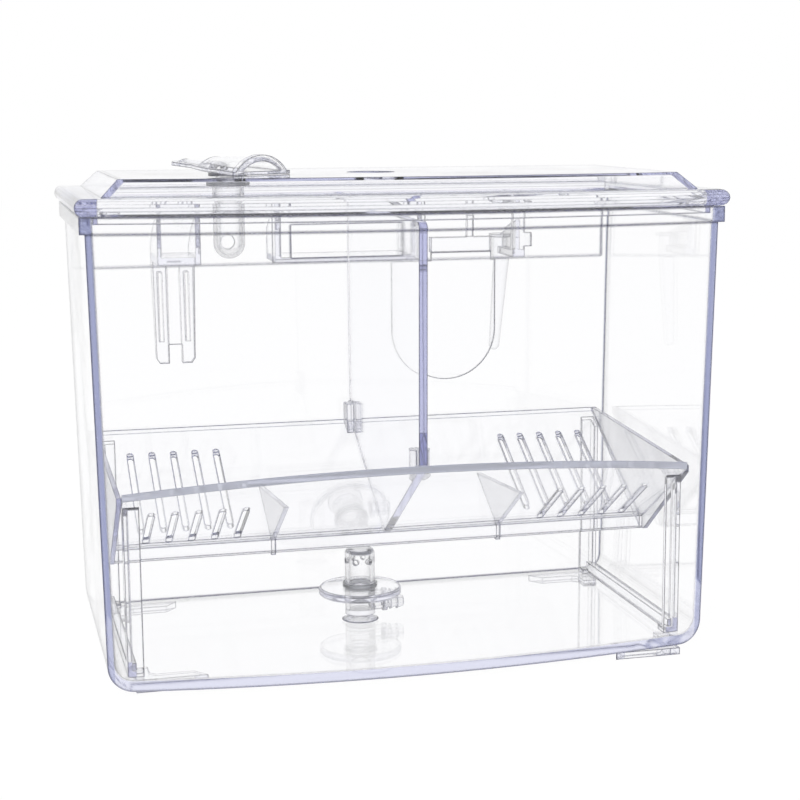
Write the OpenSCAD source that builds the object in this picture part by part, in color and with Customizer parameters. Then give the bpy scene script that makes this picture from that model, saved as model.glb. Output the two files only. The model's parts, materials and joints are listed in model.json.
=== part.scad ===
// Hang-on fish breeding box: a clear tank with a bowed front, a lift-off lid with a
// swivelling feeding hood, a slotted V-shaped spawning tray on two leg frames, a centre
// divider, two unlike rear hooks, an outlet spout, and a bubbler on the floor.
// Millimetres, +Z up, +X to the right as seen from the front, rear wall towards +Y.
// The origin is the middle of the base, on the surface that the feet stand on.

/* [Tank] */
// Width over the side walls
tank_w = 200; // [190:1:220]
// Depth from the front corners to the back of the rear wall
tank_d = 95; // [93:1:105]
// How far the front wall bows out at its middle
bow = 10; // [8:1:14]
// How far each wall leans out from the floor up to the collar
draft = 2.3; // [1:0.1:3]
// Height from the floor's underside to the collar
body_h = 143.5; // [142:0.5:155]
// Wall thickness
wall = 2.2; // [1.8:0.1:2.6]
// Floor thickness
floor_t = 3; // [2.4:0.2:3.6]
// Radius between the side walls and the floor
bottom_r = 8; // [6:1:10]
// Height of the collar round the mouth
collar_h = 5.2; // [4.6:0.2:6]
// How far the collar stands out from the walls
collar_out = 1.7; // [1.5:0.1:2.4]
// Height of the step across the rear wall above the floor's underside
step_h = 125; // [122:1:127]
// Height of the strips under the corners
foot_h = 2.4; // [2:0.1:3]
// How far the right front strip sits in front of the left one
foot_ahead = 8.6; // [0:0.2:9]

/* [Lid] */
// Height of the rolled rim
rim_h = 5.5; // [5:0.1:6]
// How far the rim stands out past the collar
rim_out = 1.3; // [1.1:0.1:1.8]
// Rise of the raised panel above the rim
panel_rise = 5.3; // [4.6:0.1:6]
// Sheet thickness of the lid
lid_t = 2; // [1.6:0.1:2.2]
// Diameter of the round feed hole
feed_hole_d = 16; // [12:1:18]

/* [Spawning tray] */
// Height of the valley above the floor's underside
valley_h = 37; // [35:1:39]
// Pitch of the rear slope in degrees
rear_pitch = 30; // [28:1:31]
// Pitch of the front slope in degrees
front_pitch = 32.5; // [30:0.5:34]
// Thickness of the slopes
slope_t = 2; // [1.6:0.1:2.4]
// Slots in each of the four zones
slot_count = 5; // [3:1:5]
// Distance from slot to slot
slot_pitch = 7.6; // [7:0.1:7.8]
// Width of each slot
slot_w = 2; // [1.5:0.1:2.4]
// Distance of the half-height ribs from the middle
rib_x = 40; // [36:1:44]

/* [Divider] */
// Thickness of the divider plate
divider_t = 2.8; // [2:0.1:3]

/* [Rear fittings] */
// Distance of the left hook from the middle
hook_x = 62.5; // [60:0.5:66]
// Gap between the rear wall and the hooks' legs
glass_gap = 18; // [14:1:20]
// Lowest point of the hooks above the floor's underside
hook_drop_z = 89.5; // [86:0.5:94]
// Width of the outlet spout
spout_w = 55; // [50:1:55]
// How far the spout reaches out behind
spout_l = 20; // [16:1:24]

/* [Bubbler] */
// Diameter of the flange disc
disc_d = 29; // [26:1:31]
// Diameter of the column
column_d = 10.6; // [10:0.2:12]

/* [Hidden] */

clear_c = [0.93, 0.95, 1.0, 0.45];
edge_c = [0.72, 0.75, 0.95, 0.6];
frost_c = [0.85, 0.88, 0.92, 0.7];
dark_c = [0.35, 0.36, 0.40, 0.9];
e = 0.01;
gap = 0.3;

// Heights
floor_z = foot_h + floor_t;
collar_z = foot_h + body_h;
tank_top = collar_z + collar_h;
rim_top = tank_top + rim_h;
panel_z = rim_top + panel_rise;
step_z = foot_h + step_h;
valley_z = foot_h + valley_h;

// Front wall: an arc through both front corners
bow_r = pow(tank_w / 2, 2) / (2 * bow) + bow / 2;
pad = 0.4;
corner_steps = 10;
out_front = bow + draft + collar_out + rim_out;
out_rear = draft + pad + glass_gap + 9.2;
mid_y = (out_front - out_rear) / 2;
front_y = mid_y - tank_d / 2;
rear_y = mid_y + tank_d / 2;
bow_cy = front_y - bow + bow_r;
inner_w = tank_w - 2 * wall;
// Upright face across the rear wall, above its step
hang_y = rear_y + draft + pad;

// Tray: the valley lies a little in front of the middle
valley_y = mid_y - 6;
keel_w = 4;
keel_d = 5.5;
tray_rear_y = rear_y - wall + 0.4;
tray_l = inner_w - 8;
rear_slope = tan(rear_pitch);
front_slope = tan(front_pitch);
rear_drop = slope_t / cos(rear_pitch);
front_drop = slope_t / cos(front_pitch);
rib_t = 1.6;
slot_x0 = rib_x + 13.3;
slot_rear = [9, 39.4];
slot_front = [7, 28];

// Rear fittings
hook_t = 2.6;
hook_w = 15.6;
cheek_t = 1.6;
right_hook_x = hook_x + 2.6;
arm_z = step_z;
arm_top = collar_z - 2.5;
leg_y = hang_y + glass_gap;
leg_d = 7;
peg_lean = 2.8;
bar_x = 31;
bar_w = 23.4;
bar_z = step_z + 2.5;
plate_low = 82;
window_w = 44;
spout_t = 2;
spout_top = step_z + 16;
window_z = step_z + spout_t;
window_h = 11;

// Lid
lid_out = draft + collar_out + rim_out;
lid_w = tank_w + 2 * lid_out;
rim_r = rim_h / 2;
rim_steps = 8;
panel_in = 8.5;
chamfer = 5.5;
skirt_h = 2.4;
hood_x = -52.8;
hood_y = mid_y - 7.7;
hood_turn = 34.4;
hood_tilt = 4;
hood_front = 16;
hood_back = 22;
tube_r = 5.2;
tube_t = 1;
tube_low = 134.3;

bubbler_x = -8;
bubbler_y = mid_y + 2;
feed_hole = [-4, mid_y - 4];
disc_z = floor_z + 9.2;
disc_t = 2.8;

// How far a wall has leaned out at a height
function lean(z) = draft * (z - foot_h) / body_h;

// Plan at the mouth, drawn in by a distance: straight sides and rear, bowed front
module plan(inset) {
    half = tank_w / 2 + draft - inset;
    rear = rear_y + draft - inset;
    intersection() {
        translate([0, bow_cy])
            circle(r = bow_r + draft - inset, $fn = 360);
        translate([-half, rear - 2 * tank_d])
            square([2 * half, 2 * tank_d]);
    }
}

// Right half of the outline across the tank: a leaning side that runs into the floor
function half_outline(inset, z0, z1, r) =
    let (
        lean_a = atan(draft / body_h),
        foot_x = tank_w / 2 + lean(z0) - inset,
        cx = foot_x + r * tan(lean_a) - r / cos(lean_a)
    ) concat(
        [for (i = [0 : corner_steps]) let (t = -90 + (90 - lean_a) * i / corner_steps)
            [cx + r * cos(t), z0 + r + r * sin(t)]],
        [[tank_w / 2 + lean(z1) - inset, z1]]
    );

// Tank-shaped block, drawn in by a distance: leaning sides and rear, conical bowed front
module body_block(inset, z0, z1, r) {
    deep = 2 * tank_d;
    right = half_outline(inset, z0, z1, r);
    left = [for (i = [len(right) - 1 : -1 : 0]) [-right[i].x, right[i].y]];
    intersection() {
        translate([0, mid_y + deep / 2, 0])
            rotate([90, 0, 0])
                linear_extrude(deep)
                    polygon(concat(right, left));
        along_x(-tank_w, tank_w)
            polygon([
                [rear_y - deep, z0], [rear_y + lean(z0) - inset, z0],
                [rear_y + lean(z1) - inset, z1], [rear_y - deep, z1]
            ]);
        translate([0, bow_cy, z0])
            cylinder(r1 = bow_r + lean(z0) - inset, r2 = bow_r + lean(z1) - inset,
                     h = z1 - z0, $fn = 360);
    }
}

module tank() {
    step_w = tank_w - 4;
    color(clear_c)
        difference() {
            union() {
                body_block(0, foot_h, collar_z + 1, bottom_r);
                translate([0, 0, collar_z])
                    linear_extrude(collar_h)
                        plan(-collar_out);
                // Upright pad that the rear fittings sit on
                translate([-step_w / 2, rear_y - 0.5, step_z])
                    cube([step_w, hang_y - rear_y + 0.5, collar_z - step_z + 1]);
            }
            body_block(wall, floor_z, tank_top + 2, bottom_r - wall);
            // Outlet window
            translate([-window_w / 2, rear_y - wall - 1, window_z])
                cube([window_w, wall + draft + 4, window_h]);
        }
}

// L-shaped strip with a slanted end, under one corner
module foot(sx, sy, ahead = 0) {
    long = 23;
    wide = 5;
    x0 = tank_w / 2 - bottom_r - 1;
    y0 = tank_d / 2 - 4;
    color(edge_c)
        in_quarter(sx, sy)
            translate([x0, y0 + ahead, 0])
                linear_extrude(foot_h)
                    polygon([
                        [0, 0], [0, -13], [-wide, -13], [-wide, -wide - 2],
                        [-wide - 2, -wide], [-long + 4, -wide], [-long, 0]
                    ]);
}

// Mirrors a shape of the tank's rear right quarter into another quarter
module in_quarter(sx, sy) {
    translate([0, mid_y, 0])
        mirror([sx < 0 ? 1 : 0, 0, 0])
            mirror([0, sy < 0 ? 1 : 0, 0])
                children();
}

// Points of a half circle on the right-hand side of a slab's edge
function round_edge(x, z, r) = [
    for (i = [0 : rim_steps]) let (t = -90 + 180 * i / rim_steps)
        [x - r + r * cos(t), z + r + r * sin(t)]
];

// Slab with rounded outer edges: straight at the sides and the rear, bowed in front
module rim_slab() {
    half = lid_w / 2;
    rear = rear_y + lid_out;
    deep = 2 * tank_d;
    right_edge = round_edge(half, 0, rim_r);
    left_edge = [for (i = [rim_steps : -1 : 0]) [-right_edge[i].x, right_edge[i].y]];
    translate([0, 0, tank_top])
        intersection() {
            translate([0, mid_y + deep / 2, 0])
                rotate([90, 0, 0])
                    linear_extrude(deep)
                        polygon(concat(right_edge, left_edge));
            along_x(-lid_w, lid_w)
                polygon(concat(
                    [[rear - deep, 0]], round_edge(rear, 0, rim_r), [[rear - deep, rim_h]]
                ));
            translate([0, bow_cy, 0])
                rotate_extrude($fn = 360)
                    polygon(concat(
                        [[0, 0]], round_edge(bow_r + lid_out, 0, rim_r), [[0, rim_h]]
                    ));
        }
}

// Raised panel with chamfered sides, drawn in by a distance: flat chamfers at the sides
// and the rear, and a cone along the bowed front
module panel_block(inset, z0, z1) {
    half = lid_w / 2 - panel_in - inset;
    rear = rear_y + lid_out - panel_in - inset;
    deep = 2 * tank_d;
    arc_r = bow_r + lid_out - panel_in - inset;
    zc = z1 - panel_rise;
    intersection() {
        translate([0, mid_y + deep / 2, 0])
            rotate([90, 0, 0])
                linear_extrude(deep)
                    polygon([
                        [-half, z0], [half, z0], [half, zc], [half - chamfer, z1],
                        [-half + chamfer, z1], [-half, zc]
                    ]);
        along_x(-lid_w, lid_w)
            polygon([
                [rear - deep, z0], [rear, z0], [rear, zc], [rear - chamfer, z1],
                [rear - deep, z1]
            ]);
        translate([0, bow_cy, 0])
            rotate_extrude($fn = 360)
                polygon([[0, z0], [arc_r, z0], [arc_r, zc], [arc_r - chamfer, z1], [0, z1]]);
    }
}

module lid() {
    color(clear_c)
        difference() {
            union() {
                rim_slab();
                panel_block(0, rim_top - lid_t, panel_z);
                // Locating skirt inside the tank's mouth
                translate([0, 0, tank_top - skirt_h])
                    linear_extrude(skirt_h + 1)
                        plan(wall + 0.6);
            }
            translate([0, 0, tank_top - skirt_h - 1])
                linear_extrude(skirt_h + 1 + rim_h - lid_t)
                    plan(wall + 2.2);
            panel_block(lid_t, rim_top - 2 * lid_t, panel_z - lid_t);
            translate([feed_hole.x, feed_hole.y, rim_top])
                cylinder(d = feed_hole_d, h = 3 * panel_rise, $fn = 64);
            translate([hood_x, hood_y, rim_top])
                cylinder(r = tube_r + 0.05, h = 3 * panel_rise, $fn = 64);
        }
}

// Dark ring under the lid that holds the feeding tube
module feed_ring() {
    color(dark_c)
        translate([hood_x, hood_y, panel_z - lid_t - 2.6])
            difference() {
                cylinder(r = tube_r + 1.9, h = 2.6, $fn = 64);
                translate([0, 0, -1])
                    cylinder(r = tube_r + 0.03, h = 5, $fn = 64);
            }
}

// Tube with a round closed bottom, which hangs through the lid
module feed_tube() {
    low = tube_low + tube_r;
    inner_r = tube_r - tube_t;
    color(frost_c)
        translate([hood_x, hood_y, 0])
            difference() {
                union() {
                    translate([0, 0, low])
                        cylinder(r = tube_r, h = panel_z - low, $fn = 32);
                    translate([0, 0, low])
                        sphere(r = tube_r, $fn = 32);
                    // Flange on top of the panel
                    translate([0, 0, panel_z])
                        cylinder(r = tube_r + 1.2, h = 0.5, $fn = 32);
                }
                translate([0, 0, low])
                    cylinder(r = inner_r, h = 40, $fn = 32);
                translate([0, 0, low])
                    sphere(r = inner_r, $fn = 32);
                // Rear mouth, through which the food falls out
                translate([0, 0, low])
                    rotate([-90, 0, 0])
                        cylinder(r = 2.4, h = 2 * tube_r, $fn = 32);
            }
}

// Low arched hood on a tilted base, with a solid grip behind it. Its spigot sits in the
// tube, so it turns over the tube's mouth.
module feed_hood() {
    spigot_r = tube_r - tube_t - 0.15;
    bore_r = 3.3;
    color(clear_c)
        translate([hood_x, hood_y, panel_z + 0.05])
            rotate([0, 0, hood_turn]) {
                difference() {
                    union() {
                        tilted()
                            linear_extrude(1.2)
                                hood_plan();
                        translate([0, 0, -3])
                            cylinder(r = spigot_r, h = 4.6, $fn = 48);
                    }
                    translate([0, 0, -5])
                        cylinder(r = bore_r, h = 9, $fn = 48);
                }
                tilted()
                    hood_arches();
            }
}

// Turns the hood's parts up at the back, about the front edge of its base
module tilted() {
    translate([0, -hood_front, 0])
        rotate([hood_tilt, 0, 0])
            translate([0, hood_front, 0])
                children();
}

module hood_plan() {
    polygon([
        [-12.6, -hood_front], [12.6, -hood_front], [11, 0], [7, 10], [6.6, hood_back - 2],
        [4.6, hood_back], [-4.6, hood_back], [-6.6, hood_back - 2], [-7, 10], [-11, 0]
    ]);
}

// Main arch, closed behind, with a bead round its mouth, and the grip
module hood_arches() {
    sheet = 1.4;
    sunk = 8.5;
    wall_y = 4;
    difference() {
        union() {
            arch(-hood_front, wall_y + sheet, 14.3, 12.6, sunk);
            arch(-hood_front, 2 - hood_front, 14.9, 14.9, sunk);
        }
        translate([0, -hood_front - 1, -sunk])
            rotate([-90, 0, 0])
                cylinder(r1 = 14.3 - sheet, r2 = 12.6 - sheet, h = hood_front + 1 + wall_y, $fn = 96);
    }
    arch(wall_y + sheet - 0.2, hood_back - 1.5, 8.4, 7.4, 5.3);
}

// The part over the base plate of a cone that lies along it between two stations
module arch(from, to, r1, r2, sunk) {
    difference() {
        translate([0, from, -sunk])
            rotate([-90, 0, 0])
                cylinder(r1 = r1, r2 = r2, h = to - from, $fn = 96);
        translate([-40, from - 1, -40])
            cube([80, to - from + 2, 40.6]);
    }
}

// Cross-sections of the tray, in Y and Z, drawn out along X
module along_x(x0, x1) {
    translate([x0, 0, 0])
        rotate([90, 0, 90])
            linear_extrude(x1 - x0)
                children();
}

// One long hole with round ends that crosses a slope: from and to are distances from
// the valley, side is 1 for the rear slope and -1 for the front slope
module slope_slot(x, side, from, to) {
    for (y = [from, to])
        translate([x, valley_y + side * y, valley_z])
            cylinder(d = slot_w, h = 80, center = true, $fn = 24);
    translate([x - slot_w / 2, valley_y + (side > 0 ? from : -to), valley_z - 40])
        cube([slot_w, to - from, 80]);
}

module slots(side, reach) {
    for (s = [-1, 1], i = [0 : slot_count - 1])
        slope_slot(s * (slot_x0 + i * slot_pitch), side, reach[0], reach[1]);
}

module tray_rear_slope() {
    run0 = keel_w / 2;
    run1 = tray_rear_y - valley_y;
    color(clear_c)
        difference() {
            along_x(-tray_l / 2, tray_l / 2)
                polygon([
                    [valley_y + run0, valley_z + run0 * rear_slope],
                    [valley_y + run1, valley_z + run1 * rear_slope],
                    [valley_y + run1, valley_z + run1 * rear_slope - rear_drop],
                    [valley_y + run0, valley_z + run0 * rear_slope - rear_drop]
                ]);
            slots(1, slot_rear);
        }
}

module tray_front_slope() {
    run0 = keel_w / 2;
    run1 = valley_y - front_y + bow;
    color(clear_c)
        difference() {
            intersection() {
                along_x(-tray_l / 2, tray_l / 2)
                    polygon([
                        [valley_y - run0, valley_z + run0 * front_slope],
                        [valley_y - run1, valley_z + run1 * front_slope],
                        [valley_y - run1, valley_z + run1 * front_slope - front_drop],
                        [valley_y - run0, valley_z + run0 * front_slope - front_drop]
                    ]);
                body_block(wall + 0.4, floor_z, tank_top, bottom_r);
            }
            slots(-1, slot_front);
        }
}

// Strip under the valley, with a groove on top and a hole for each rib's peg
module tray_keel() {
    k = keel_w / 2;
    color(edge_c)
        difference() {
            along_x(-tray_l / 2, tray_l / 2)
                polygon([
                    [valley_y - k, valley_z + k * front_slope],
                    [valley_y, valley_z],
                    [valley_y + k, valley_z + k * rear_slope],
                    [valley_y + k, valley_z - keel_d],
                    [valley_y - k, valley_z - keel_d]
                ]);
            for (s = [-1, 1])
                translate([s * rib_x - rib_t / 2, valley_y - 1, valley_z - 20])
                    cube([rib_t, 2, 40]);
        }
}

// Half-height cross rib, with a peg down through the keel
module tray_rib(x) {
    rear_run = 24;
    front_run = 27;
    color(frost_c) {
        along_x(x - rib_t / 2, x + rib_t / 2)
            polygon([
                [valley_y, valley_z],
                [valley_y + rear_run, valley_z + rear_run * rear_slope],
                [valley_y - front_run, valley_z + front_run * front_slope]
            ]);
        translate([x - rib_t / 2, valley_y - 1, valley_z - keel_d - 1])
            cube([rib_t, 2, keel_d + 2.5]);
    }
}

// Full-height end plate that closes the V and reaches down past the keel
module tray_end(side) {
    t = 1.6;
    x0 = side > 0 ? tray_l / 2 : -tray_l / 2 - t;
    run1 = tray_rear_y - valley_y;
    run2 = valley_y - front_y - wall - 0.6;
    color(frost_c)
        along_x(x0, x0 + t)
            polygon([
                [valley_y - 3, valley_z - keel_d],
                [valley_y + 3, valley_z - keel_d],
                [valley_y + run1, valley_z + run1 * rear_slope - rear_drop],
                [valley_y + run1, valley_z + run1 * rear_slope],
                [valley_y - run2, valley_z + run2 * front_slope],
                [valley_y - run2, valley_z + run2 * front_slope - front_drop]
            ]);
}

// Angle-section post under one end of the tray, cut off at the slope's underside
module post(side, y, run_dir) {
    size = 5.2;
    t = 1.6;
    grade = run_dir > 0 ? rear_slope : front_slope;
    drop = run_dir > 0 ? rear_drop : front_drop;
    x_out = side * (tray_l / 2 - 0.4);
    y_far = valley_y + run_dir * 90;
    difference() {
        union() {
            translate([side > 0 ? x_out - t : x_out, y - size / 2, floor_z])
                cube([t, size, 90]);
            translate([side > 0 ? x_out - size : x_out, run_dir > 0 ? y + size / 2 - t : y - size / 2, floor_z])
                cube([size, t, 90]);
        }
        along_x(x_out - 20, x_out + 20)
            polygon([
                [valley_y, valley_z - drop],
                [y_far, valley_z - drop + 90 * grade],
                [y_far, valley_z + 150],
                [valley_y, valley_z + 150]
            ]);
    }
}

// Two posts joined by a rail along the floor
module leg_frame(side) {
    x_out = side * (tray_l / 2 - 0.4);
    y_front = front_y + wall + 5;
    y_rear = rear_y - wall - 5;
    // The lower ends keep clear of the rounded corner between wall and floor
    color(clear_c)
        difference() {
            union() {
                post(side, y_front, -1);
                post(side, y_rear, 1);
                translate([side > 0 ? x_out - 3 : x_out, y_front, floor_z])
                    cube([3, y_rear - y_front, 4]);
                translate([x_out - 5.2 * (side > 0 ? 1 : 0), y_front - 2.6, floor_z])
                    cube([5.2, 5.2, 1.6]);
                translate([x_out - 5.2 * (side > 0 ? 1 : 0), y_rear - 2.6, floor_z])
                    cube([5.2, 5.2, 1.6]);
            }
            difference() {
                translate([side * 100 - 25, mid_y - 100, floor_z - 1])
                    cube([50, 200, bottom_r + 1]);
                body_block(wall + 0.3, floor_z, floor_z + 40, bottom_r - wall);
            }
        }
}

// Clip that stands on a slope and holds the divider's edge in its slot
module divider_rear_clip() {
    y0 = tray_rear_y - 7;
    color(frost_c)
        difference() {
            union() {
                translate([-4, y0, valley_z])
                    cube([8, 6, 36.5]);
                translate([0, y0, valley_z + 33.4])
                    rotate([-90, 0, 0])
                        cylinder(r = 4, h = 6, $fn = 48);
            }
            slope_mass(1);
            translate([-divider_t / 2 - gap / 2, y0 - 1, valley_z])
                cube([divider_t + gap, 10, 60]);
        }
}

module divider_front_clip() {
    y0 = front_y - bow + wall + 0.9;
    color(frost_c)
        difference() {
            translate([0, y0 + 3.4, valley_z + 20])
                cylinder(r = 3.4, h = 16.5, $fn = 48);
            slope_mass(-1);
            translate([-divider_t / 2 - gap / 2, y0 - 1, valley_z])
                cube([divider_t + gap, 10, 60]);
        }
}

// Everything below a slope's upper face
module slope_mass(run_dir) {
    grade = run_dir > 0 ? rear_slope : front_slope;
    along_x(-20, 20)
        polygon([
            [valley_y, valley_z], [valley_y + run_dir * 80, valley_z + 80 * grade],
            [valley_y + run_dir * 80, valley_z - 60], [valley_y, valley_z - 60]
        ]);
}

// Upright plate whose lower edge follows the tray's V, with round upper corners
module divider() {
    top = tank_top - skirt_h - 0.5;
    r = 3;
    // Front and rear edges at a height, clear of the leaning walls
    front = function (z) front_y - bow - lean(z) + wall + 0.5;
    rear = function (z) rear_y + lean(z) - wall - 0.5;
    // Heights at which those edges meet the slopes, a gap above them
    lean_rate = draft / body_h;
    front_foot = (valley_z + gap + (valley_y - front(0)) * front_slope)
        / (1 - lean_rate * front_slope);
    rear_foot = (valley_z + gap + (rear(0) - valley_y) * rear_slope)
        / (1 - lean_rate * rear_slope);
    color(edge_c)
        along_x(-divider_t / 2, divider_t / 2) {
            polygon([
                [valley_y, valley_z + gap], [rear(rear_foot), rear_foot],
                [rear(top - r), top - r], [front(top - r), top - r],
                [front(front_foot), front_foot]
            ]);
            translate([front(top - r) + r, top - 2 * r])
                square([rear(top - r) - front(top - r) - 2 * r, 2 * r]);
            for (y = [front(top - r) + r, rear(top - r) - r])
                translate([y, top - r])
                    circle(r = r, $fn = 48);
        }
}

// Hook: a plate against the rear wall, an arm over the aquarium's rim and a forked leg
module hook_left() {
    w = hook_w;
    color(clear_c)
        translate([-hook_x, 0, 0]) {
            translate([-w / 2, hang_y, arm_z])
                cube([w, hook_t, arm_top - arm_z]);
            translate([-w / 2, hang_y, arm_z])
                cube([w, leg_y + leg_d - hang_y, hook_t]);
            for (s = [-1, 1])
                translate([s * (w - cheek_t) / 2 - cheek_t / 2, 0, 0])
                    hook_cheek();
            hook_fork();
        }
}

// Gusset between the left hook's plate and its arm
module hook_cheek() {
    along_x(0, cheek_t)
        polygon([
            [hang_y, arm_z], [hang_y, arm_top], [hang_y + 6, arm_top],
            [leg_y + 2, arm_z + 9], [leg_y + leg_d, arm_z + 5], [leg_y + leg_d, arm_z]
        ]);
}

// Forked leg of the left hook: two tapered prongs with a groove in each, and a thin web
module hook_fork() {
    w = hook_w / 2;
    in = 2.4;
    web_t = 1.4;
    low = hook_drop_z;
    difference() {
        intersection() {
            translate([0, leg_y + leg_d + 1, 0])
                rotate([90, 0, 0])
                    linear_extrude(leg_d + 2)
                        polygon([
                            [-w, arm_z + 1], [0.6 - w, low + 1.8], [1.8 - w, low], [-in, low],
                            [-in, low + 7], [in, low + 7], [in, low], [w - 1.8, low],
                            [w - 0.6, low + 1.8], [w, arm_z + 1]
                        ]);
            along_x(-w, w)
                polygon([
                    [leg_y, arm_z + 1], [leg_y + leg_d, arm_z + 1], [leg_y + leg_d, arm_z - 6],
                    [leg_y + 3.4, low], [leg_y, low]
                ]);
        }
        translate([-in, leg_y + web_t, low - 1])
            cube([2 * in, leg_d, arm_z - low + 1]);
        for (s = [-1, 1])
            translate([s * (w + in - 0.4) / 2 - 0.8, leg_y + web_t, low + 8])
                cube([1.6, leg_d, arm_z - low - 12]);
    }
}

// Narrow hook whose leg is a round peg that leans in a little
module hook_right() {
    w = 4.8;
    peg_y = leg_y + 4;
    tip_z = hook_drop_z + 2;
    neck_z = arm_z - 2;
    color(clear_c)
        translate([right_hook_x, 0, 0]) {
            // Arm and its foot against the wall, with a small tab at the side
            translate([-w / 2, hang_y, arm_z])
                cube([w, hook_t, arm_top - arm_z]);
            translate([w / 2 - 0.2, hang_y, arm_z + 4])
                cube([3, hook_t, 5.2]);
            translate([-w / 2, hang_y, arm_z])
                cube([w, peg_y - hang_y, hook_t]);
            translate([-0.8, 0, 0])
                along_x(0, 1.6)
                    polygon([
                        [hang_y + hook_t, arm_z], [hang_y + hook_t, arm_top - 3],
                        [peg_y, arm_z + 7], [peg_y, arm_z]
                    ]);
            // Flange and neck over the peg
            translate([0, peg_y, arm_z + 6])
                cylinder(r = 4.9, h = 1.2, $fn = 32);
            translate([0, peg_y, neck_z])
                cylinder(r = 3.6, h = 8.6, $fn = 32);
            difference() {
                translate([-peg_lean, peg_y, tip_z])
                    rotate([0, atan(peg_lean / (neck_z - tip_z)), 0])
                        cylinder(r1 = 2.1, r2 = 3.3, h = neck_z - tip_z + 2, $fn = 32);
                translate([-10, peg_y - 10, neck_z + 1])
                    cube([20, 20, 5]);
            }
            translate([-peg_lean, peg_y, tip_z])
                sphere(r = 2.1, $fn = 32);
        }
}

// Bar on the rear wall that carries the U-shaped rest plate, with a small catch over it
module spacer_bar() {
    color(clear_c) {
        translate([bar_x, hang_y, bar_z])
            cube([bar_w, 3.2, 5.6]);
        translate([bar_x + 13.8, hang_y, bar_z + 5.5])
            cube([2.6, 2, 7.2]);
    }
}

// U-shaped rest plate that keeps the box upright against the aquarium's glass
module spacer_plate() {
    w = 38;
    t = 1.2;
    mid_x = bar_x + 6;
    round_z = plate_low + w / 2;
    color(clear_c)
        translate([0, hang_y + t, 0])
            rotate([90, 0, 0])
                linear_extrude(t) {
                    translate([mid_x, round_z])
                        circle(r = w / 2, $fn = 96);
                    translate([mid_x - w / 2, round_z])
                        square([w, step_z - 0.5 - round_z]);
                    translate([bar_x, round_z])
                        square([bar_w, bar_z - round_z]);
                }
}

// Open trough that carries the overflow back over the aquarium's rim
module outlet_spout() {
    flange = 1.2;
    color(clear_c)
        difference() {
            union() {
                translate([-spout_w / 2, hang_y, step_z])
                    cube([spout_w, spout_l, spout_top - step_z]);
                translate([-spout_w / 2 - flange, hang_y, step_z])
                    cube([spout_w + 2 * flange, 1.4, spout_top - step_z]);
            }
            translate([-spout_w / 2 + spout_t, hang_y - 1, step_z + spout_t])
                cube([spout_w - 2 * spout_t, spout_l + 2, spout_top]);
            // The side walls fall away towards the open end
            translate([-spout_w, hang_y + 12, spout_top])
                rotate([-35, 0, 0])
                    cube([2 * spout_w, 30, 20]);
        }
}

// Lathe parts of the bubbler share one upright axis
module at_bubbler(z) {
    translate([bubbler_x, bubbler_y, z])
        children();
}

module bubbler_foot() {
    color(frost_c)
        at_bubbler(floor_z)
            difference() {
                cylinder(r1 = 6.4, r2 = 3, h = 2.2, $fn = 48);
                translate([0, 0, -e])
                    cylinder(r1 = 5.4, r2 = 2, h = 1.2, $fn = 48);
            }
}

module bubbler_body() {
    color(clear_c)
        at_bubbler(floor_z + 2.2)
            difference() {
                union() {
                    cylinder(d = column_d, h = disc_z - floor_z - 2.2, $fn = 48);
                    translate([0, 0, 3.2])
                        rotate([0, 90, 0])
                            cylinder(r = 2.6, h = 8, $fn = 32);
                }
                translate([0, 0, 1.6])
                    cylinder(d = column_d - 3, h = 20, $fn = 48);
                translate([0, 0, 3.2])
                    rotate([0, 90, 0])
                        cylinder(r = 1.3, h = 20, $fn = 32);
            }
}

// Hose tail with two ridges, pushed over the side outlet's bore
module bubbler_barb() {
    color(frost_c)
        at_bubbler(floor_z + 5.4)
            translate([8, 0, 0])
                rotate([0, 90, 0])
                    rotate_extrude($fn = 32)
                        polygon([
                            [0.9, 0], [3.1, 0], [3.1, 1.4], [2.0, 1.4], [2.0, 2.6], [2.7, 2.6],
                            [2.0, 4.6], [2.0, 5], [2.7, 5], [1.9, 7.4], [0.9, 7.4]
                        ]);
}

module bubbler_disc() {
    color(clear_c)
        at_bubbler(disc_z)
            rotate_extrude($fn = 48)
                polygon([
                    [column_d / 2 - 1.5, 0], [disc_d / 2 - 0.6, 0], [disc_d / 2, 0.6],
                    [disc_d / 2, disc_t - 0.6], [disc_d / 2 - 0.6, disc_t],
                    [column_d / 2 - 1.5, disc_t]
                ]);
}

module bubbler_seal() {
    color(dark_c)
        at_bubbler(disc_z + disc_t)
            rotate_extrude($fn = 48)
                translate([column_d / 2 - 1.4, 0])
                    square([2.2, 1.2]);
}

// Rounded cap with a ring of outlet holes, turned to open or close the air
module bubbler_cap() {
    h = 12.6;
    r = column_d / 2;
    holes = 6;
    color(frost_c)
        at_bubbler(disc_z + disc_t + 1.2)
            difference() {
                union() {
                    cylinder(r = r, h = h - 2, $fn = 48);
                    translate([0, 0, h - 2])
                        rotate_extrude($fn = 48)
                            intersection() {
                                translate([r - 2, 0])
                                    circle(r = 2, $fn = 16);
                                square([r, 2]);
                            }
                    cylinder(r = r - 2, h = h, $fn = 48);
                }
                translate([0, 0, -1])
                    cylinder(r = r - 1.5, h = h - 1, $fn = 48);
                for (i = [0 : holes - 1])
                    rotate([0, 0, i * 360 / holes])
                        translate([0, 0, h - 4.4])
                            rotate([0, 90, 0])
                                cylinder(r = 0.9, h = 10, $fn = 12);
            }
}

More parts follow.
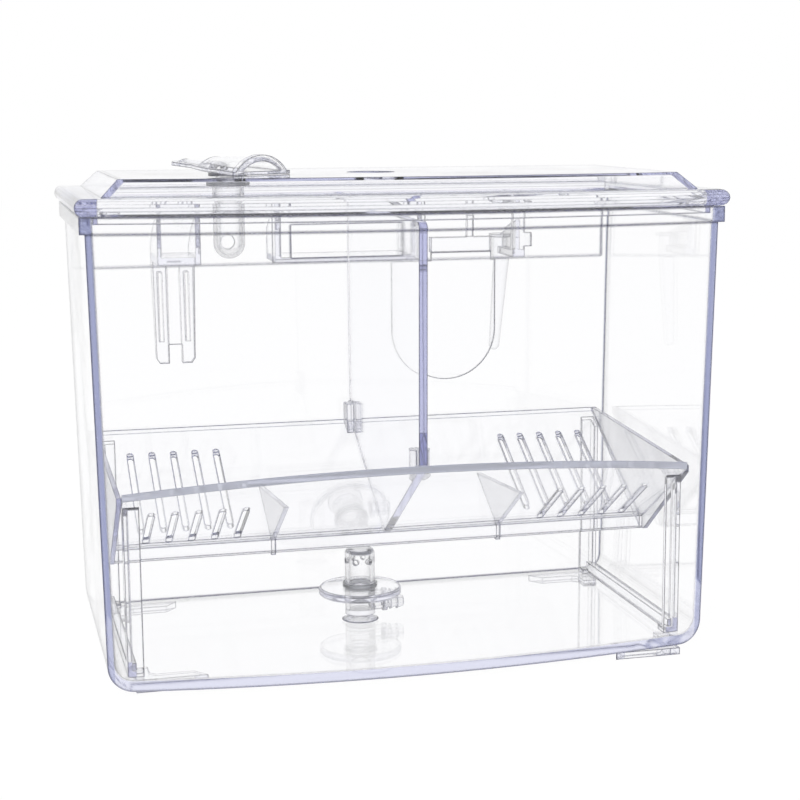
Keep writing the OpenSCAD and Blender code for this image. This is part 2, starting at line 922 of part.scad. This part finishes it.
tank();
foot(-1, -1);  // foot_front_left
foot(1, -1, foot_ahead);  // foot_front_right
foot(-1, 1);  // foot_rear_left
foot(1, 1);  // foot_rear_right
lid();
feed_ring();
feed_tube();
feed_hood();
tray_rear_slope();
tray_front_slope();
tray_keel();
tray_rib(-rib_x);  // tray_rib_left
tray_rib(rib_x);  // tray_rib_right
tray_end(-1);  // tray_end_left
tray_end(1);  // tray_end_right
leg_frame(-1);  // leg_frame_left
leg_frame(1);  // leg_frame_right
divider_rear_clip();
divider_front_clip();
divider();
hook_left();
hook_right();
spacer_bar();
spacer_plate();
outlet_spout();
bubbler_foot();
bubbler_body();
bubbler_seal();
bubbler_disc();
bubbler_cap();
bubbler_barb();
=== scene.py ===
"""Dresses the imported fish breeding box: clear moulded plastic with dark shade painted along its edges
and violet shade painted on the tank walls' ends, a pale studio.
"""
import json
import math

import bpy
from mathutils import Euler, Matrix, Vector

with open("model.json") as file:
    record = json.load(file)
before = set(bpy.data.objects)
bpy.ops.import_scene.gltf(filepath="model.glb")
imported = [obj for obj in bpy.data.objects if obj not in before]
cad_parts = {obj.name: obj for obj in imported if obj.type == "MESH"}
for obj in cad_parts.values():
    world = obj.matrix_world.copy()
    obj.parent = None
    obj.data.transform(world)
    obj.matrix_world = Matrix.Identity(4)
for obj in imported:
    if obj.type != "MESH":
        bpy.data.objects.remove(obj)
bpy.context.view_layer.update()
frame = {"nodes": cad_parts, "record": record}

# The photograph's camera, in metres and degrees, fitted to the tank's edges
CAMERA_AT = (-0.1379, -0.5897, 0.1826)
CAMERA_YAW = 15.07
CAMERA_TILT = 10.14
CAMERA_ROLL = 0.17
IMAGE_SIDE = 800
FOCAL_PX = 1750.8
CENTRE_PX = (433.4, 422.0)
SENSOR_MM = 36.0

WHITE = (1, 1, 1, 1)

# Clear plastic: the colour that a long path inside it leaves, and how it bends and mirrors light
VIOLET = (0.35, 0.38, 0.76)
PLASTIC_IOR = 1.49
SPECULAR = 0.35
# Large flat walls mirror less, or the fitting on the floor shows twice
FLAT_SPECULAR = 0.12

# Painted dark shade along rounded edges: rays per sample, and how far the normal has turned where the
# painted line starts and is full
EDGE_SAMPLES = 4
EDGE_SHADE_STARTS = 0.999
EDGE_SHADE_FULL = 0.96
# How soon the shade painted on a curved side deepens as it turns away
RIM_SHADE_POWER = 1.6

# The tank's side walls: where their inner faces stand at the floor, in metres, and how they lean out
WALL_INSIDE = 0.0978
WALL_LEAN = 0.0155
# Painted violet shade on the walls' upright ends, where edge-on plastic looks dark
WALL_END_SHADE = (0.45, 0.48, 0.64)
# A face of a wall's end has less of its normal along X than this
WALL_END_NORMAL = 0.6

# The front slope's cut edge: its place and the turn of its face, both along Y, and how cloudy it is
CUT_BEFORE = -0.048
CUT_NORMAL = -0.7
CUT_SHARE = 0.7
CUT_COLOUR = (0.84, 0.87, 1.0)

# Scuffs make the gloss uneven, and slow waves are left by moulding
SCUFF_SCALE = 160.0
SCUFF_DETAIL = 4.0
SCUFF_FROM, SCUFF_TO = 0.45, 0.8
SCUFF_ROUGHNESS = 0.05
WAVE_SCALE = 22.0
WAVE_DETAIL = 1.0
WAVE_STRENGTH = 0.05
WAVE_DEPTH = 0.0005

# Soft seals
SEAL_ROUGHNESS = 0.35
SEAL_CLEARNESS = 0.8
SEAL_IOR = 1.41
SEAL_GRAIN_SCALE = 900.0
SEAL_GRAIN_SHADE = 0.85
SEAL_GREY = (0.72, 0.73, 0.77)

# How far each face is drawn in, in metres, for a hair of air between pieces that touch
SEAT_GAP = 0.00004

# Studio
WORLD_LIGHT = 0.55
FLOOR_HALF = 3.0
FLOOR_GREY = 0.9
FLOOR_GLOW = 1.02
FLOOR_GLOW_SHARE = 0.96
LAMP_TARGET = Vector((0, 0, 0.08))
LIGHT_BOUNCES = 20


def add_camera():
    data = bpy.data.cameras.new("photo_camera")
    data.sensor_width = SENSOR_MM
    data.lens = FOCAL_PX / IMAGE_SIDE * SENSOR_MM
    half = IMAGE_SIDE / 2
    data.shift_x = (half - CENTRE_PX[0]) / IMAGE_SIDE
    data.shift_y = (CENTRE_PX[1] - half) / IMAGE_SIDE
    camera = bpy.data.objects.new("photo_camera", data)
    camera.location = CAMERA_AT
    camera.rotation_euler = Euler(
        (math.radians(90 - CAMERA_TILT), math.radians(CAMERA_ROLL), math.radians(-CAMERA_YAW)), "XYZ"
    )
    bpy.context.scene.collection.objects.link(camera)
    bpy.context.scene.camera = camera


class Nodes:
    """Short calls for building the node tree of a material or the world."""

    def __init__(self, owner):
        owner.use_nodes = True
        self.tree = owner.node_tree
        self.tree.nodes.clear()

    def add(self, kind, sockets=None, **settings):
        """A new node with these settings and input values."""
        node = self.tree.nodes.new(kind)
        for key, value in settings.items():
            setattr(node, key, value)
        for key, value in (sockets or {}).items():
            node.inputs[key].default_value = value
        return node

    def link(self, a, out, b, into):
        self.tree.links.new(a.outputs[out], b.inputs[into])

    def math(self, operation, first, second):
        """A Math node. Each side is a number or a pair of a node and its output."""
        node = self.add("ShaderNodeMath", operation=operation)
        for index, side in enumerate((first, second)):
            if isinstance(side, tuple):
                self.link(*side, node, index)
            else:
                node.inputs[index].default_value = side
        return node

    def mix_colours(self, a, b):
        """A Mix node between two colours."""
        return self.add("ShaderNodeMix", {"A": a, "B": b}, data_type="RGBA")


def paint_shade_on_wall_ends(n, geometry, place, colour):
    """Painted violet shade: white turns violet on the upright ends of the leaning side walls, as their
    edges look seen from front or rear.
    """
    at = n.add("ShaderNodeSeparateXYZ")
    n.link(place, "Object", at, "Vector")
    side = n.math("ABSOLUTE", (at, "X"), 0)
    lean = n.math("MULTIPLY", (at, "Z"), WALL_LEAN)
    upright = n.math("SUBTRACT", (side, "Value"), (lean, "Value"))
    far = n.math("GREATER_THAN", (upright, "Value"), WALL_INSIDE)
    normal = n.add("ShaderNodeSeparateXYZ")
    n.link(geometry, "Normal", normal, "Vector")
    sideways = n.math("ABSOLUTE", (normal, "X"), 0)
    end = n.math("LESS_THAN", (sideways, "Value"), WALL_END_NORMAL)
    both = n.math("MULTIPLY", (far, "Value"), (end, "Value"))
    # Painted violet shade on the walls' upright ends
    tint = n.mix_colours(WHITE, (*WALL_END_SHADE, 1))
    n.link(both, "Value", tint, "Factor")
    n.link(tint, "Result", colour, "A")


def cloud_cut_edge(n, geometry, place, shader, out):
    """The slope's front edge is cut, not polished: its face is a pale violet cloud."""
    normal = n.add("ShaderNodeSeparateXYZ")
    n.link(geometry, "True Normal", normal, "Vector")
    front = n.math("LESS_THAN", (normal, "Y"), CUT_NORMAL)
    at = n.add("ShaderNodeSeparateXYZ")
    n.link(place, "Object", at, "Vector")
    ahead = n.math("LESS_THAN", (at, "Y"), CUT_BEFORE)
    both = n.math("MULTIPLY", (front, "Value"), (ahead, "Value"))
    share = n.math("MULTIPLY", (both, "Value"), CUT_SHARE)
    cloud = n.add("ShaderNodeBsdfDiffuse", {"Color": (*CUT_COLOUR, 1)})
    mix = n.add("ShaderNodeMixShader")
    n.link(share, "Value", mix, 0)
    n.link(shader, "BSDF", mix, 1)
    n.link(cloud, "BSDF", mix, 2)
    n.link(mix, "Shader", out, "Surface")


def plastic(
    name, density, edge_shade, radius=0.0004, rough=0.005, rim_shade=0.0, specular=SPECULAR, wall_end_shade=False, cut=False
):
    """Clear moulded plastic: violet over a long path, with dark shade painted on its rounded edges.

    density is the absorption per metre, the edge colour the dark shade painted along the edges and
    radius how far they round, in metres. The rim amount is how much shade is painted on a curved side
    where it turns away. The ends switch paints violet shade on the upright ends of the tank's side
    walls, and cut clouds the front slope's front edge.
    """
    material = bpy.data.materials.new(name)
    n = Nodes(material)
    out = n.add("ShaderNodeOutputMaterial")
    shader = n.add("ShaderNodeBsdfPrincipled", {
        "Transmission Weight": 1.0, "IOR": PLASTIC_IOR, "Specular IOR Level": specular,
    })
    inside = n.add("ShaderNodeVolumeAbsorption", {"Color": (*VIOLET, 1), "Density": density})
    n.link(inside, "Volume", out, "Volume")
    place = n.add("ShaderNodeTexCoord")
    geometry = n.add("ShaderNodeNewGeometry")
    if cut:
        cloud_cut_edge(n, geometry, place, shader, out)
    else:
        n.link(shader, "BSDF", out, "Surface")

    rounded = n.add("ShaderNodeBevel", {"Radius": radius}, samples=EDGE_SAMPLES)
    turned = n.add("ShaderNodeVectorMath", operation="DOT_PRODUCT")
    n.link(rounded, "Normal", turned, 0)
    n.link(geometry, "Normal", turned, 1)
    # Painted dark shade along the edges, where the bevel's rounded normal turns from the face's
    edge = n.add("ShaderNodeMapRange", {"From Min": EDGE_SHADE_STARTS, "From Max": EDGE_SHADE_FULL})
    n.link(turned, "Value", edge, "Value")
    colour = n.mix_colours(WHITE, (*edge_shade, 1))
    if wall_end_shade:
        paint_shade_on_wall_ends(n, geometry, place, colour)
    if rim_shade:
        # Painted shade on a curved side, deeper as it turns away from the view
        facing = n.add("ShaderNodeLayerWeight", {"Blend": 0.5})
        away = n.math("POWER", (facing, "Facing"), RIM_SHADE_POWER)
        share = n.math("MULTIPLY", (away, "Value"), rim_shade)
        most = n.math("MAXIMUM", (share, "Value"), (edge, "Result"))
        n.link(most, "Value", colour, "Factor")
    else:
        n.link(edge, "Result", colour, "Factor")
    n.link(colour, "Result", shader, "Base Color")

    scuffs = n.add("ShaderNodeTexNoise", {"Scale": SCUFF_SCALE, "Detail": SCUFF_DETAIL})
    n.link(place, "Object", scuffs, "Vector")
    spread = n.add("ShaderNodeMapRange", {
        "From Min": SCUFF_FROM, "From Max": SCUFF_TO, "To Min": rough, "To Max": rough + SCUFF_ROUGHNESS,
    })
    n.link(scuffs, "Fac", spread, "Value")
    n.link(spread, "Result", shader, "Roughness")
    waves = n.add("ShaderNodeTexNoise", {"Scale": WAVE_SCALE, "Detail": WAVE_DETAIL})
    n.link(place, "Object", waves, "Vector")
    bump = n.add("ShaderNodeBump", {"Strength": WAVE_STRENGTH, "Distance": WAVE_DEPTH})
    n.link(waves, "Fac", bump, "Height")
    n.link(rounded, "Normal", bump, "Normal")
    n.link(bump, "Normal", shader, "Normal")
    return material


def soft_seal(name, tint):
    """Cloudy seal that lets some light through, with a fine grain."""
    material = bpy.data.materials.new(name)
    n = Nodes(material)
    out = n.add("ShaderNodeOutputMaterial")
    shader = n.add("ShaderNodeBsdfPrincipled", {
        "Roughness": SEAL_ROUGHNESS, "Transmission Weight": SEAL_CLEARNESS, "IOR": SEAL_IOR,
    })
    n.link(shader, "BSDF", out, "Surface")
    place = n.add("ShaderNodeTexCoord")
    grain = n.add("ShaderNodeTexNoise", {"Scale": SEAL_GRAIN_SCALE})
    n.link(place, "Object", grain, "Vector")
    colour = n.mix_colours((*[c * SEAL_GRAIN_SHADE for c in tint], 1), (*tint, 1))
    n.link(grain, "Fac", colour, "Factor")
    n.link(colour, "Result", shader, "Base Color")
    return material


MATERIALS = {
    "clear_plastic": plastic("clear_plastic", 8.0, edge_shade=(0.001, 0.001, 0.006), radius=0.00055),
    "tinted_plastic": plastic("tinted_plastic", 10.0, edge_shade=(0.001, 0.001, 0.01), radius=0.00055),
    "frosted_plastic": plastic("frosted_plastic", 12.0, edge_shade=(0.05, 0.055, 0.10), rough=0.07, rim_shade=0.7),
    "dark_rubber": soft_seal("dark_rubber", SEAL_GREY),
}
# Pieces that differ from the plain finish of their slot
TANK = plastic(
    "tank_clear_plastic", 4.0, edge_shade=(0.0, 0.0, 0.006), radius=0.0012, specular=FLAT_SPECULAR, wall_end_shade=True
)
LID = plastic("lid_clear_plastic", 9.0, edge_shade=(0.001, 0.0015, 0.015), radius=0.0006)
TRAY_LOOK = {"density": 9.0, "edge_shade": (0.006, 0.008, 0.05), "radius": 0.0005, "specular": FLAT_SPECULAR}
TRAY_FRONT = plastic("tray_front_clear_plastic", cut=True, **TRAY_LOOK)
TRAY_REAR = plastic("tray_clear_plastic", **TRAY_LOOK)
ROUND = plastic("round_clear_plastic", 8.0, edge_shade=(0.002, 0.002, 0.01), rim_shade=0.9)
HOOD = plastic("hood_clear_plastic", 6.0, edge_shade=(0.001, 0.001, 0.006), radius=0.0005)
OWN_FINISH = {
    "tank": TANK,
    "lid": LID,
    "tray_front_slope": TRAY_FRONT,
    "tray_rear_slope": TRAY_REAR,
    "hook_right": ROUND,
    "feed_tube": ROUND,
    "feed_hood": HOOD,
    "bubbler_body": ROUND,
    "bubbler_cap": ROUND,
}


def dress_cad_nodes():
    for row in frame["record"]["subparts"]:
        piece = frame["nodes"][row["node"]]
        piece.data.materials.clear()
        piece.data.materials.append(OWN_FINISH.get(row["node"], MATERIALS[row["material_slot"]]))
        if row["node"] != "tank":
            # A hair of air between pieces that touch
            seat = piece.modifiers.new("seat", "DISPLACE")
            seat.strength = -SEAT_GAP
            seat.mid_level = 0


def pale_everywhere(n):
    """A factor that is 1 on camera, glossy and transmission rays."""
    path = n.add("ShaderNodeLightPath")
    seen = n.math("MAXIMUM", (path, "Is Camera Ray"), (path, "Is Glossy Ray"))
    return n.math("MAXIMUM", (seen, "Value"), (path, "Is Transmission Ray"))


def add_world():
    world = bpy.data.worlds.new("studio")
    bpy.context.scene.world = world
    n = Nodes(world)
    out = n.add("ShaderNodeOutputWorld")
    back = n.add("ShaderNodeBackground", {"Color": WHITE})
    level = n.add("ShaderNodeMapRange", {"To Min": WORLD_LIGHT, "To Max": 1.0})
    n.link(pale_everywhere(n), "Value", level, "Value")
    n.link(level, "Result", back, "Strength")
    n.link(back, "Background", out, "Surface")


def add_lamp(name, at, size, power):
    data = bpy.data.lights.new(name, "AREA")
    data.size = size
    data.energy = power
    lamp = bpy.data.objects.new(name, data)
    lamp.visible_transmission = False
    lamp.location = at
    lamp.rotation_euler = (LAMP_TARGET - Vector(at)).to_track_quat("-Z", "Y").to_euler()
    bpy.context.scene.collection.objects.link(lamp)


def add_floor():
    mesh = bpy.data.meshes.new("floor")
    r = FLOOR_HALF
    mesh.from_pydata([(-r, -r, 0), (r, -r, 0), (r, r, 0), (-r, r, 0)], [], [(0, 1, 2, 3)])
    floor = bpy.data.objects.new("floor", mesh)
    bpy.context.scene.collection.objects.link(floor)
    material = bpy.data.materials.new("floor")
    n = Nodes(material)
    out = n.add("ShaderNodeOutputMaterial")
    diffuse = n.add("ShaderNodeBsdfDiffuse", {"Color": (FLOOR_GREY, FLOOR_GREY, FLOOR_GREY, 1)})
    glow = n.add("ShaderNodeEmission", {"Color": WHITE, "Strength": FLOOR_GLOW})
    mix = n.add("ShaderNodeMixShader")
    share = n.math("MULTIPLY", (pale_everywhere(n), "Value"), FLOOR_GLOW_SHARE)
    n.link(share, "Value", mix, 0)
    n.link(diffuse, "BSDF", mix, 1)
    n.link(glow, "Emission", mix, 2)
    n.link(mix, "Shader", out, "Surface")
    mesh.materials.append(material)


add_camera()
dress_cad_nodes()
add_world()
add_floor()
add_lamp("key", (-0.6, -0.7, 0.9), 0.7, 6.0)
add_lamp("fill", (0.8, -0.4, 0.6), 0.9, 3.0)
scene = bpy.context.scene
scene.view_settings.view_transform = "Standard"
scene.cycles.max_bounces = LIGHT_BOUNCES
scene.cycles.transmission_bounces = LIGHT_BOUNCES
scene.cycles.glossy_bounces = LIGHT_BOUNCES
